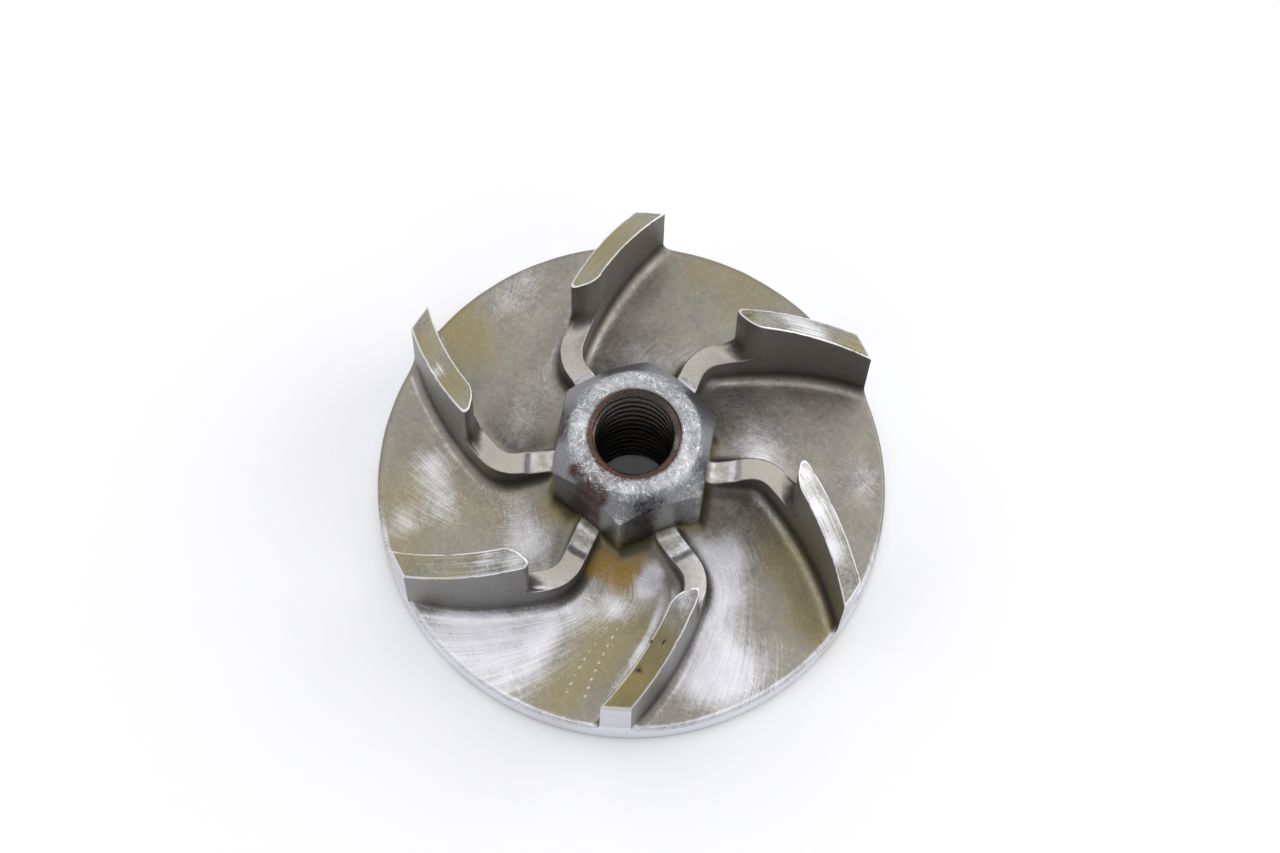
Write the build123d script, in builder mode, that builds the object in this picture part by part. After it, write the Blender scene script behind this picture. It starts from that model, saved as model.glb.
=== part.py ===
"""Open pump impeller: six swept blades on a dished disc with a hexagonal threaded hub.

One casting, so one solid. Millimetres, +Z out of the bladed face, back face on z = 0,
hub axis on the Z axis. The blank is cast oversize and turned to its diameter at the end.
"""

import os
from math import acos, atan2, cos, degrees, hypot, radians, sqrt, tan

from build123d import *

# ---- disc -----------------------------------------------------------------
disc_radius = 22.5       # the blade tips end flush with this cylinder
rim_floor = 3.0          # height of the passage floor where it meets the rim
rim_back_chamfer = 0.3
dish_radius = 15.2       # outside this radius the floor is a shallow cone
dish_floor = 3.6         # floor height at dish_radius
seat_floor = 6.5         # height of the flat ring the hub stands on
seat_land = 0.2          # of that ring, what is left outside the hub's foot at a corner
turning_allowance = 2.0  # cast outside the disc's radius and turned away

# ---- hub ------------------------------------------------------------------
hex_across_flats = 13.0
hex_turn = 24.0          # direction of one hexagon corner, degrees from +X
hub_height = 17.1        # back face to top face, the tallest point of the part
hub_top_radius = 5.5     # flat ring at the top, where the turned cone starts
hub_cone_angle = 35.0    # between the turned cone and the axis, degrees
hub_top_round = 0.5
hub_foot_fillet = 0.8

# ---- threaded hole (M8 x 1.25, modelled at the minor diameter) ------------
bore_radius = 3.32
mouth_radius = 4.0       # wide end of the 45 degree countersink in the hub
back_mouth_radius = 3.9  # the same in the back face

# ---- blade centre line, for a blade whose rim corner lies on +X -----------
blade_count = 6
blade_turn = 92.86       # direction of the first blade's rim corner, degrees
blade_width = 1.97
sweep_centre_x = 3.09
sweep_centre_y = -20.84
sweep_radius = 27.5
hook_inset = 1.6         # from the inner end of the tall blade in to the start of the hook
hook_angle = 54.0
tail_sink = 0.4          # the straight run from the hook ends this far inside the hub's flats

# ---- turned profile of the blades -----------------------------------------
tip_height = 11.3        # blade top at the rim
eye_height = 16.6        # blade top at the inner end
eye_radius = 14.2        # inner end of the tall blades
eye_fillet = 1.5         # from the inner end down to the low foot
eye_corner_round = 0.4
foot_height = 7.9        # top of the foot that runs on to the hub
relief_radius = 9.2      # inside this the foot is turned a little lower
relief_height = 7.6
blade_fillet = 0.8       # blade walls to the floor

seat_radius = hex_across_flats / 2 / cos(radians(30)) + hub_foot_fillet + seat_land
blade_blank = disc_radius + turning_allowance
disc_blank = blade_blank + 2 * blade_fillet
top_slope = (eye_height - tip_height) / (disc_radius - eye_radius)
floor_slope = (dish_floor - rim_floor) / (disc_radius - dish_radius)


def sweep_angle(radius):
    """Angle on the sweep's circle, in degrees, of the point at this radius of the disc."""
    offset = hypot(sweep_centre_x, sweep_centre_y)
    cosine = (radius**2 - offset**2 - sweep_radius**2) / (2 * offset * sweep_radius)
    return degrees(atan2(sweep_centre_y, sweep_centre_x) + acos(cosine))


# The hook takes up the room between the eye and the ring under the hub.
hook_radius = (eye_radius - hook_inset - seat_radius) / sqrt(2)
sweep_start = sweep_angle(blade_blank + blade_width)
sweep_end = sweep_angle(eye_radius - hook_inset)

# One blade: its plan outline, then the turned profile of the foot and of the top.
with BuildSketch() as outline:
    with BuildLine():
        sweep = CenterArc(
            (sweep_centre_x, sweep_centre_y), sweep_radius, sweep_start, sweep_end - sweep_start
        )
        hook = JernArc(sweep @ 1, sweep % 1, hook_radius, hook_angle)
        tail_length = (hook @ 1).length - hex_across_flats / 2 + tail_sink
        Line(hook @ 1, hook @ 1 + (hook % 1) * tail_length)
    trace(line_width=blade_width)

with BuildSketch() as tall_outline:
    add(outline.sketch)
    Circle(eye_radius, mode=Mode.SUBTRACT)
    fillet(tall_outline.vertices().sort_by(SortBy.DISTANCE)[:2], radius=eye_corner_round)

with BuildPart() as blade:
    add(outline.sketch)
    extrude(amount=foot_height + eye_fillet)
    with BuildSketch(Plane.XZ):
        with BuildLine():
            eye_foot = (eye_radius, foot_height + eye_fillet)
            foot_end = (eye_radius - eye_fillet, foot_height)
            RadiusArc(eye_foot, foot_end, eye_fillet)
            Polyline(
                foot_end,
                (relief_radius, foot_height),
                (relief_radius, relief_height),
                (0, relief_height),
                (0, 0),
                (blade_blank, 0),
                (blade_blank, foot_height + eye_fillet),
                eye_foot,
            )
        make_face()
    revolve(axis=Axis.Z, mode=Mode.INTERSECT)
    add(tall_outline.sketch)
    extrude(amount=eye_height)
    with BuildSketch(Plane.XZ):
        Polygon(
            (0, 0),
            (blade_blank, 0),
            (blade_blank, eye_height - (blade_blank - eye_radius) * top_slope),
            (0, eye_height + eye_radius * top_slope),
            align=None,
        )
    revolve(axis=Axis.Z, mode=Mode.INTERSECT)

# The hub: a hexagon with a filleted foot and a turned cone on top.
with BuildPart() as hub:
    Cylinder(seat_radius, seat_floor, align=(Align.CENTER, Align.CENTER, Align.MIN))
    with BuildSketch(Plane.XY.offset(seat_floor)):
        RegularPolygon(hex_across_flats / 2, 6, major_radius=False, rotation=hex_turn)
    extrude(amount=hub_height - seat_floor)
    hex_foot = hub.edges().filter_by_position(Axis.Z, seat_floor, seat_floor)
    fillet(hex_foot.filter_by(GeomType.LINE), radius=hub_foot_fillet)
    with BuildSketch(Plane.XZ):
        cone_drop = (seat_radius - hub_top_radius) / tan(radians(hub_cone_angle))
        Polygon(
            (0, 0),
            (seat_radius, 0),
            (seat_radius, hub_height - cone_drop),
            (hub_top_radius, hub_height),
            (0, hub_height),
            align=None,
        )
    revolve(axis=Axis.Z, mode=Mode.INTERSECT)
    fillet(hub.edges().sort_by(Axis.Z)[-1], radius=hub_top_round)

with BuildPart() as impeller:
    with BuildSketch(Plane.XZ):
        with BuildLine():
            rim_edge = (disc_blank, dish_floor - (disc_blank - dish_radius) * floor_slope)
            cone = Line(rim_edge, (dish_radius, dish_floor))
            dish = TangentArc(cone @ 1, (seat_radius, seat_floor), tangent=cone % 1)
            Polyline(dish @ 1, (0, seat_floor), (0, 0), (disc_blank, 0), rim_edge)
        make_face()
    revolve(axis=Axis.Z)
    with PolarLocations(0, blade_count, start_angle=blade_turn):
        add(blade.part)
    fillet(impeller.edges(Select.NEW), radius=blade_fillet)
    add(hub.part)
    foot_ends = impeller.edges(Select.NEW).filter_by_position(Axis.Z, relief_height, relief_height)
    fillet(foot_ends, radius=hub_foot_fillet)
    with BuildSketch(Plane.XZ):
        Polygon(
            (bore_radius, back_mouth_radius - bore_radius),
            (back_mouth_radius, 0),
            (disc_radius - rim_back_chamfer, 0),
            (disc_radius, rim_back_chamfer),
            (disc_radius, hub_height),
            (mouth_radius, hub_height),
            (bore_radius, hub_height - (mouth_radius - bore_radius)),
            align=None,
        )
    revolve(axis=Axis.Z, mode=Mode.INTERSECT)
impeller.part.label = "impeller"

os.makedirs("parts", exist_ok=True)
export_step(impeller.part, "parts/impeller.step")
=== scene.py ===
# %% [markdown]
# # Pump impeller
# This scene dresses one cast pump impeller: a dished disc with six swept blades and a hexagonal
# hub. The solid model is loaded first as a fixed frame. Everything below is in metres in that
# same frame, with +Z out of the bladed face and the hub's axis on Z.

# %% Load the frame
from math import atan2, radians

import bmesh
import bpy
import numpy as np
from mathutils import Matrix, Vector, noise


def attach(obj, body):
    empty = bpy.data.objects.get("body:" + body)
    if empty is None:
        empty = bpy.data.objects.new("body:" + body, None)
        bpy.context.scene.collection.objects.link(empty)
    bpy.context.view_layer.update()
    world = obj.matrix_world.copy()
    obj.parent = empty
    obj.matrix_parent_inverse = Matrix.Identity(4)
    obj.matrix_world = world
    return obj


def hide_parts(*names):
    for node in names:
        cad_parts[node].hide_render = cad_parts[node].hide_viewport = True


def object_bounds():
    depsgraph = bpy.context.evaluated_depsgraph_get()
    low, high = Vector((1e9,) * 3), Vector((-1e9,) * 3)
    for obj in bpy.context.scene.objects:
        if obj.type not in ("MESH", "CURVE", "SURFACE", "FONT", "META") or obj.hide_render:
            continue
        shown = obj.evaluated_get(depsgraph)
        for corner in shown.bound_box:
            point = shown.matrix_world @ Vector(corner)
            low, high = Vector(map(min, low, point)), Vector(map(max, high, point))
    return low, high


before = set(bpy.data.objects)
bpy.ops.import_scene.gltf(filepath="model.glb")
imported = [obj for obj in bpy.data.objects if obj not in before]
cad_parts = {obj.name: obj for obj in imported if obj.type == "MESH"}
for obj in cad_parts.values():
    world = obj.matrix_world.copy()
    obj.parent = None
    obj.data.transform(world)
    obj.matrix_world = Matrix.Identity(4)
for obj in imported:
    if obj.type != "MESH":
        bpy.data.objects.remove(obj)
cad_low, cad_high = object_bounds()
MM = 0.001
disc_radius = cad_high.x / MM
hub_height = cad_high.z / MM
print(f"disc radius {disc_radius:.2f} mm, hub height {hub_height:.2f} mm")

# %% [markdown]
# ## Camera
# The camera looks down on the bladed face from about 73 degrees above the horizon, close enough
# for a little perspective. A short lens would lean the blades outwards, so this is a long one on
# a full-frame sensor. Depth of field stays off, so that every blade is sharp.

# %% Camera
image_width, focal_pixels = 1280, 3240.4
camera_data = bpy.data.cameras.new("camera")
camera_data.sensor_width = 36.0
camera_data.lens = focal_pixels / image_width * camera_data.sensor_width
camera_data.clip_start, camera_data.clip_end = 0.01, 10.0
camera = bpy.data.objects.new("camera", camera_data)
camera.location = (0.0, -0.08547, 0.27731)
camera.rotation_euler = (radians(18.269), radians(-1.165), radians(3.258))
bpy.context.scene.collection.objects.link(camera)
bpy.context.scene.camera = camera
print(f"lens {camera_data.lens:.1f} mm")

# %% [markdown]
# ## The shape of the casting
# The solid already has the right form, but its edges are as crisp as a drawing. The real casting
# has worn edges, a soft rim, a thread in its bore and small nicks in its blades. Sculpting could
# give these, and so could a bevel modifier, but neither is exact. Here the skin is laid out as
# grids of points instead. Six sectors repeat, so one sector is worked out and turned five times.
# The sizes below are in millimetres, and each is given where it is first needed.

# %% Sizes of the set of blades
blade_count = 6
sector = 360 / blade_count
blade_turn = 92.86        # direction of the first blade's rim corner, degrees
half_width = 0.985        # of a blade
draft = 0.04              # a blade's wall leans out this much below its shoulder
print(f"{blade_count} blades, one every {sector:.0f} degrees, {2 * half_width:.2f} mm thick")

# %% [markdown]
# ### Where a blade runs
# In plan a blade is an arc, then a small hook, then a straight tail into the hub. Each of these
# crosses every circle round the axis only once. So for any radius, and any distance to the left
# of the centre line, the direction of that point is known from the cosine rule. A curve object
# could draw the path too, but its points would not fall on given circles. These do, and so each
# column of points follows the blade exactly.

# %% Sizes of a blade's path
sweep_x, sweep_y = 3.09, -20.84
sweep_radius = 27.5
sweep_end = 72.43         # degrees on the sweep's circle, where the hook starts
hook_radius = 2.895
hook_angle = 54.0


# %% Direction of a point on the blade
def on_circle(x, y, radius, angle):
    """The point at this angle, in degrees, on a circle."""
    turn = np.radians(angle)
    return x + radius * np.cos(turn), y + radius * np.sin(turn)


hook_x, hook_y = on_circle(sweep_x, sweep_y, sweep_radius - hook_radius, sweep_end)
hook_end = sweep_end + hook_angle


def by_cosine_rule(r, x, y, radius):
    """Direction, in degrees, of the point at radius r that lies on a circle beside the axis."""
    away = np.hypot(x, y)
    cosine = (r**2 + away**2 - radius**2) / (2 * r * away)
    return np.degrees(np.arctan2(y, x) + np.arccos(np.clip(cosine, -1, 1)))


def blade_angle(r, left):
    """Direction at radius r of the line this far to the left of the blade's centre line."""
    hook_start_r = np.hypot(*on_circle(sweep_x, sweep_y, sweep_radius - left, sweep_end))
    hook_end_r = np.hypot(*on_circle(hook_x, hook_y, hook_radius - left, hook_end))
    sweep = by_cosine_rule(r, sweep_x, sweep_y, sweep_radius - left)
    hook = by_cosine_rule(r, hook_x, hook_y, hook_radius - left)
    end = np.radians(hook_end)
    reach = hook_x * np.cos(end) + hook_y * np.sin(end) + hook_radius - left
    tail = hook_end - np.degrees(np.arccos(np.clip(reach / r, -1, 1)))
    return np.where(r > hook_start_r, sweep, np.where(r > hook_end_r, hook, tail))


print(f"a blade leaves the hub at {blade_angle(8.0, 0.0):.1f} and the rim at "
      f"{blade_angle(disc_radius, 0.0):.1f} degrees")

# %% [markdown]
# ### Heights
# The floor is a shallow cone near the rim and then sweeps up in an arc to the foot of the hub.
# The tops of the blades and of their feet were turned on a lathe, so their heights depend on the
# radius alone. A short function for each is easier to follow than a table of heights.

# %% Sizes of the floor, the blades and their feet
rim_floor, dish_radius, dish_floor = 3.0, 15.2, 3.6
hub_floor, hub_fillet = 6.4, 0.8
flat_radius = 6.5         # from the axis to a flat of the hexagon
tip_height, eye_height, eye_radius, eye_fillet = 11.3, 16.6, 14.2, 1.5
foot_height, relief_height, relief_radius, relief_ramp = 7.9, 7.65, 9.2, 0.8
shoulder = foot_height + eye_fillet


# %% Floor and turned tops
rim_slope = (dish_floor - rim_floor) / (disc_radius - dish_radius)
dish_run = dish_radius - flat_radius - hub_fillet
dish_rise = hub_floor - dish_floor - rim_slope * dish_run


def floor_height(r):
    """Height of the passage floor, which rises to the hub ever faster."""
    inside = np.clip((dish_radius - r) / dish_run, 0, None)
    return dish_floor + (dish_radius - r) * rim_slope + dish_rise * inside**2


def top_height(r):
    """Height of a blade's top."""
    return eye_height - (r - eye_radius) * (eye_height - tip_height) / (disc_radius - eye_radius)


def foot_top(r, end):
    """Height of the low foot, whose fillet climbs to the shoulder at the radius end."""
    step = np.clip((r - relief_radius) / relief_ramp + 0.5, 0, 1)
    plain = relief_height + (foot_height - relief_height) * step**2 * (3 - 2 * step)
    climb = np.clip(r - (end - eye_fillet), 0, eye_fillet)
    return plain + eye_fillet - np.sqrt(eye_fillet**2 - climb**2)


print(f"floor {floor_height(disc_radius):.2f} mm high at the rim and "
      f"{floor_height(flat_radius + hub_fillet):.2f} at the hub")

# %% [markdown]
# ### The hexagon
# The hub's outline is a hexagon with its corners worn round. Its radius in any direction is that of
# a flat, or near a corner that of a small circle. A bevelled prism would look the same, but its
# points would not meet the blades' columns. With a function, those columns end exactly on the hub.

# %% Outline of the hub
hex_turn = 24.0           # direction of one hexagon corner, degrees
hex_corner_round = 0.35
half_corner = np.radians(sector / 2)


def hub_radius(angle, out=0.0):
    """Radius of the hexagon's outline, worn round at its corners, moved out by this much."""
    beta = np.radians((angle - hex_turn + sector / 2) % sector - sector / 2)
    ball = hex_corner_round + out
    middle = (flat_radius - hex_corner_round) / np.cos(half_corner)
    flat = (flat_radius + out) / np.cos(half_corner - np.abs(beta))
    arc = middle * np.cos(beta) + np.sqrt(np.clip(ball**2 - (middle * np.sin(beta)) ** 2, 0, None))
    limit = np.arctan2(ball / 2, middle + ball * np.cos(half_corner))
    return np.where(np.abs(beta) < limit, arc, flat)


print(f"hub {hub_radius(hex_turn):.2f} mm from the axis to a corner")

# %% [markdown]
# ### Grids of one sector
# Each patch of skin is a grid of points, and each point is given by its distance to the left of a
# blade's centre line, its radius and its height. Rows close up where the shape turns: at the
# hub's fillet, at the inner end of the tall blade and at the worn rim. A point near the hub has
# its radius set by the hexagon, which depends on its direction, so the two are settled in a few
# rounds. The solid has crisp edges, and these rows are what lets the skin turn over them softly.

# %% Rows inside the eye
eye_corner = 0.8          # radius of the tall blade's inner corners
ring_radius = 8.54        # where the floor leaves the hexagon's shape for plain circles
first_circle, plain_start, row_step = 8.67, 9.75, 0.22


def quarter_turn(steps):
    """Shares of a radius across and up a quarter circle that starts out upright."""
    turn = np.linspace(0, np.pi / 2, steps + 1)
    return 1 - np.cos(turn), np.sin(turn)


fillet_in, fillet_drop = quarter_turn(6)       # out from a wall, and down it
side_start = eye_radius + eye_corner
hub_rows = hub_fillet * fillet_in              # distance out from the hexagon
hub_rise = hub_fillet * (1 - fillet_drop)
ring_rows = np.array([0.35, 0.7, 1.0])         # shares of the way out to ring_radius
circle_rows = np.concatenate([
    [first_circle], relief_radius + relief_ramp * np.linspace(-0.5, 0.5, 7),
    np.arange(plain_start, eye_radius - eye_fillet - 0.05, row_step),
    eye_radius - eye_fillet * quarter_turn(7)[0][::-1],
])
hub_count = len(hub_rows) + len(ring_rows)
eye_row = hub_count + len(circle_rows) - 1
print(f"{eye_row + 1} rows inside the eye")

# %% Rows outside the eye
worn_rim = 0.35           # radius worn on the edge of the disc
rim_in, rim_up = quarter_turn(6)
outer_rows = np.concatenate([
    np.linspace(side_start, disc_radius - worn_rim, 38)[1:],
    disc_radius - worn_rim * rim_in[-2::-1],
])
rim_drop = worn_rim * (1 - rim_up[-2::-1])
outer_share = (outer_rows - side_start) / (disc_radius - side_start)
print(f"{len(outer_rows)} rows outside the eye")

# %% Columns across a blade
worn_edge = 0.14          # radius worn on the blades' top edges
across = np.sin(np.pi / 2 * np.linspace(1, -1, 17))
edge_in, edge_up = quarter_turn(4)             # shares of a worn edge's radius, in and up
edge_drop = 1 - edge_up
wall_levels = np.linspace(0, 1, 4)             # from the floor's fillet to the shoulder
upper_levels = np.linspace(0, 1, 22)           # from the shoulder to the worn top edge
print(f"{len(across) + 2 * (len(edge_in) - 1)} columns across a foot")

# %% Columns across a passage
blade_fillet = 1.05
passage_width = 16.0      # of a passage, near the middle of its length
foot_out = half_width + draft + blade_fillet * fillet_in
wall_out = half_width + draft * (1 - wall_levels)
floor_shares = np.linspace(0, 1, 30)[1:-1]
right_of = -np.concatenate([wall_out[::-1], foot_out[1:]])
along_floor = np.full(len(floor_shares), right_of[-1])
passage_right = np.concatenate([right_of, along_floor, right_of[::-1]])
passage_left = -passage_right
passage_share = np.concatenate([right_of * 0, floor_shares, right_of * 0 + 1])
wall_part = np.concatenate([wall_levels[::-1], foot_out[1:] * 0])
wall_part = np.concatenate([wall_part, floor_shares * 0, wall_part[::-1]])
fillet_part = np.concatenate([wall_levels * 0 + 1, 1 - fillet_drop[1:]])
fillet_part = np.concatenate([fillet_part, floor_shares * 0, fillet_part[::-1]])
print(f"{len(passage_share)} columns across a passage")


# %% Radius and direction of the inner rows
fade_start, settling_rounds = 10.4, 8          # rows are plain circles up to the first


def eye_bulge(u, inset=0.0):
    """How far a tall blade's inner end stands back at its worn corners; u is -1 to 1 across."""
    ball = eye_corner - inset
    past = np.clip(np.abs(u) * (half_width - inset) - (half_width - eye_corner), 0, ball)
    return ball - np.sqrt(ball**2 - past**2)


def inner_rows(bulge, angle_at):
    """Radius and direction of the rows from the hub to the eye, one column per bulge."""
    fade = np.interp(circle_rows, [fade_start, eye_radius - eye_fillet], [0, 1])
    circles = circle_rows[:, None] + fade[:, None] * bulge
    r = np.concatenate([np.full((hub_count, len(bulge)), flat_radius + 1), circles])
    for _ in range(settling_rounds):
        angle = angle_at(r)[:hub_count] + blade_turn
        r[:len(hub_rows)] = hub_radius(angle[:len(hub_rows)], hub_rows[:, None])
        start = hub_radius(angle[len(hub_rows):], hub_fillet)
        r[len(hub_rows):hub_count] = start + (ring_radius - start) * ring_rows[:, None]
    return r, angle_at(r)


def passage_angle(r):
    """Directions across the passage from one blade's right side to the next one's left."""
    right, left = blade_angle(r, passage_right), blade_angle(r, passage_left) + sector
    return right + (left - right) * passage_share


print(f"blade corners stand back by up to {eye_bulge(1.0):.2f} mm")


# %% Keep a patch in all six sectors
patches = []
grain_jump = 37.0         # millimetres between the grain patterns of two sectors


def add_patch(finish, r, angle, z, across=0.0, along=None):
    """Keeps a grid of points, once for each sector, with its place across and along the grain."""
    along = r if along is None else along
    r, angle, z, across, along = np.broadcast_arrays(r, angle, z, across, along)
    for k in range(blade_count):
        turn = np.radians(angle + blade_turn + k * sector)
        patches.append((finish, np.stack([r * np.cos(turn), r * np.sin(turn), z], axis=-1),
                        np.stack([across, along, across * 0 + k * grain_jump], axis=-1)))


def with_hub_rise(z):
    """Adds the hub's foot fillet to the first rows of a patch."""
    rise = np.zeros(len(z))
    rise[:len(hub_rows)] = hub_rise
    return z + rise[:, None]


print(f"grain of the sixth sector starts {grain_jump * (blade_count - 1):.0f} mm along")

# %% [markdown]
# ### Floor, feet and blades
# The passage runs from one blade to the next: a lower wall, a fillet, the floor, a fillet and the
# next lower wall. The feet close the gap between two passages inside the eye. Outside it, the
# tall blades do, with an end wall at the eye, two walls, a turned top, a worn edge all round that
# top, and an end face flush with the rim.

# %% Rows of a passage
foot_round = np.full(eye_row + 1, worn_edge)
foot_round[hub_count:] = worn_edge * np.interp(
    circle_rows, [eye_radius - eye_fillet, eye_radius], [1, 0])
r_in, angle_in = inner_rows(np.full(len(passage_share), eye_corner), passage_angle)
r_out = np.repeat(outer_rows[:, None], len(passage_share), axis=1)
passage_r = np.concatenate([r_in, r_out])
passage_dir = np.concatenate([angle_in, passage_angle(r_out)])
print(f"{len(passage_r)} rows in each passage")

# %% Heights and skin of a passage
floor = floor_height(passage_r)
round_rows = np.concatenate([foot_round, outer_rows * 0])[:, None]
wall_top = np.where(np.arange(len(passage_r))[:, None] > eye_row, shoulder,
                    foot_top(passage_r, side_start)) - round_rows
fillet_top = floor + blade_fillet
passage_z = np.where(wall_part > 0, fillet_top + (wall_top - fillet_top) * wall_part,
                     floor + blade_fillet * fillet_part)
passage_z[-len(rim_drop):] -= rim_drop[:, None] * (1 - fillet_part)
passage_z = with_hub_rise(passage_z)
climb = passage_z - floor
passage_across = passage_share * passage_width + (2 * passage_share - 1) * climb
walls = len(wall_levels)
part = slice(walls - 1, 1 - walls)
add_patch("floor", passage_r[:, part], passage_dir[:, part], passage_z[:, part],
          passage_across[:, part])
for side, part, turn in ((-1, slice(0, walls), 0), (1, slice(-walls, None), -sector)):
    z = passage_z[:, part]
    add_patch("wall", passage_r[:, part], passage_dir[:, part] + turn, z, z * side,
              passage_r[:, part] + side * half_width)
print(f"passage {passage_z.min():.2f} to {passage_z.max():.2f} mm high")

# %% Feet
foot_left = np.concatenate([
    half_width - foot_round[:, None] * edge_in[:-1],
    (half_width - foot_round[:, None]) * across,
    -(half_width - foot_round[:, None] * edge_in[-2::-1]),
], axis=1)
foot_sunk = np.concatenate([edge_drop[:-1], across * 0, edge_drop[-2::-1]])
foot_u = np.concatenate([edge_in[:-1] * 0 + 1, across, edge_in[:-1] * 0 - 1])
foot_bulge = eye_bulge(foot_u)
foot_r, foot_dir = inner_rows(foot_bulge, lambda r: blade_angle(r, foot_left[:len(r)]))
foot_z = with_hub_rise(foot_top(foot_r, eye_radius + foot_bulge) - foot_round[:, None] * foot_sunk)
add_patch("foot", foot_r, foot_dir, foot_z, foot_left)
print(f"feet {foot_z.min():.2f} to {foot_z.max():.2f} mm high")


# %% Walls of the tall blades
def upper_wall(r, left):
    """Rows of points from the shoulder up to the worn edge of the top."""
    r, left = np.broadcast_arrays(r, left)
    z = shoulder + upper_levels[:, None] * (top_height(r) - worn_edge - shoulder)
    add_patch("wall", r, blade_angle(r, left), z, z * np.sign(left + 0.01), r + left)


side_r = np.concatenate([[side_start], outer_rows])
upper_wall(side_r, half_width)
upper_wall(side_r, -half_width)
upper_wall(eye_radius + eye_bulge(across), across * half_width)
print(f"walls {tip_height - shoulder:.1f} to {eye_height - shoulder:.1f} mm above the shoulder")


# %% Tops of the tall blades and their worn edges
def on_top(u, share, inset):
    """Radius and distance left of a point of the top; share runs from the eye to the rim."""
    start = eye_radius + inset + eye_bulge(u, inset)
    return start + (disc_radius - inset - start) * share, u * (half_width - inset)


share = np.concatenate([[0], outer_share])
r, left = on_top(across, share[:, None], worn_edge)
add_patch("top", r, blade_angle(r, left), top_height(r), left)
inset, drop = worn_edge * edge_in[:, None], worn_edge * edge_drop[:, None]
for u, along in ((1.0, share), (-1.0, share), (across, 0.0), (across, 1.0)):
    rim = [on_top(np.asarray(u, float), along, float(i)) for i in inset[:, 0]]
    r = np.stack([np.broadcast_arrays(*pair)[0] for pair in rim])
    left = np.stack([np.broadcast_arrays(*pair)[1] for pair in rim])
    add_patch("edge", r, blade_angle(r, left), top_height(r) - drop, left)
print(f"blade tops {top_height(disc_radius):.1f} mm high at the rim, {eye_height:.1f} at the eye")

# %% Blade ends at the rim
tip_fillet = rim_floor + blade_fillet
tip_out = half_width + draft * (1 - wall_levels[:, None])
tip_z = tip_fillet + (shoulder - tip_fillet) * wall_levels[:, None]
add_patch("tip", disc_radius, blade_angle(disc_radius, tip_out * across), tip_z, tip_z, across)
tip_rise = shoulder + upper_levels[:, None] * (tip_height - worn_edge - shoulder)
add_patch("tip", disc_radius, blade_angle(disc_radius, half_width * across), tip_rise,
          tip_rise, across)
print(f"blade ends {tip_height - rim_floor:.1f} mm tall")

# %% [markdown]
# ### Rim, back and hub
# Below the skyline of the rim the wall drops straight to a small chamfer, and the back is flat.
# On the hub each column of points climbs a flat of the hexagon, turns over a worn edge on to the
# turned cone, and then over a rounder one on to the ring round the hole. Cutting a cone from a
# prism would leave sharp arcs where they meet. Here each arc is worn round along its whole length.

# %% Rim and back
rim_chamfer = 0.3
rim_levels = np.linspace(0, 1, 8)[:, None]
between_walls = slice(walls - 1, 1 - walls)
skylines = [
    (passage_dir[-1, between_walls], passage_z[-1, between_walls]),
    (blade_angle(disc_radius, (half_width + draft) * across), tip_fillet + across * 0),
]
flat_rings = [17.0, 11.0, 6.0]
back_rings = np.array([disc_radius, disc_radius - rim_chamfer, *flat_rings])[:, None]
back_heights = np.array([rim_chamfer, 0, *np.zeros(len(flat_rings))])[:, None]
for direction, skyline in skylines:
    add_patch("rim", disc_radius, direction, skyline + (rim_chamfer - skyline) * rim_levels)
    add_patch("back", back_rings, direction, back_heights)
print(f"rim {rim_floor:.1f} mm thick at its edge")


# %% Profile of the hub
hub_top_radius, cone_run = 5.5, 1.428   # the cone drops this much for each millimetre out
mouth_radius, worn_flat, worn_ring = 4.0, 0.16, 0.32


def turn_over(corner, before, after, size, steps=5):
    """Points of a worn corner of a profile, from the side of before to the side of after."""
    def along(end):
        gap = end - corner
        return corner + gap * (size / np.linalg.norm(gap, axis=-1, keepdims=True))
    t = np.linspace(0, 1, steps)[:, None, None]
    return (1 - t) ** 2 * along(before) + 2 * t * (1 - t) * corner + t**2 * along(after)


def hub_profile(angle, bottom):
    """Radius and height of each column up the hub, from its foot to the mouth of the hole."""
    r = hub_radius(angle + blade_turn)
    flat_top = hub_height - (r - hub_top_radius) * cone_run
    foot = np.stack([r, bottom], axis=-1)
    corner = np.stack([r, flat_top], axis=-1)
    ring = np.broadcast_to([hub_top_radius, hub_height], corner.shape)
    mouth = np.broadcast_to([mouth_radius, hub_height], corner.shape)
    edge = turn_over(corner, foot, ring, worn_flat)
    crown = turn_over(ring, corner, mouth, worn_ring)
    def between(a, b, steps):
        t = np.linspace(0, 1, steps + 1)[:-1, None, None]
        return a + (b - a) * t
    path = [between(foot, edge[0], 24), edge, between(edge[-1], crown[0], 10)[1:], crown,
            between(crown[-1], mouth, 6)[1:], mouth[None]]
    return np.concatenate(path)


print(f"cone {np.degrees(np.arctan(1 / cone_run)):.0f} degrees from upright")

# %% Hub
for direction, bottom in ((passage_dir[0], passage_z[0]), (foot_dir[0], foot_z[0])):
    profile = hub_profile(direction, bottom)
    add_patch("hub", profile[..., 0], direction, profile[..., 1])
print(f"{len(profile)} rows of points up the hub")

# %% [markdown]
# ### Threaded hole
# The thread is real geometry: the wall of the hole moves out and back along a helix, with the
# small flats of a standard metric thread. The countersinks at both ends cut the thread away. A
# screw modifier could wind it, but its ends would not meet the countersinks.

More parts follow.
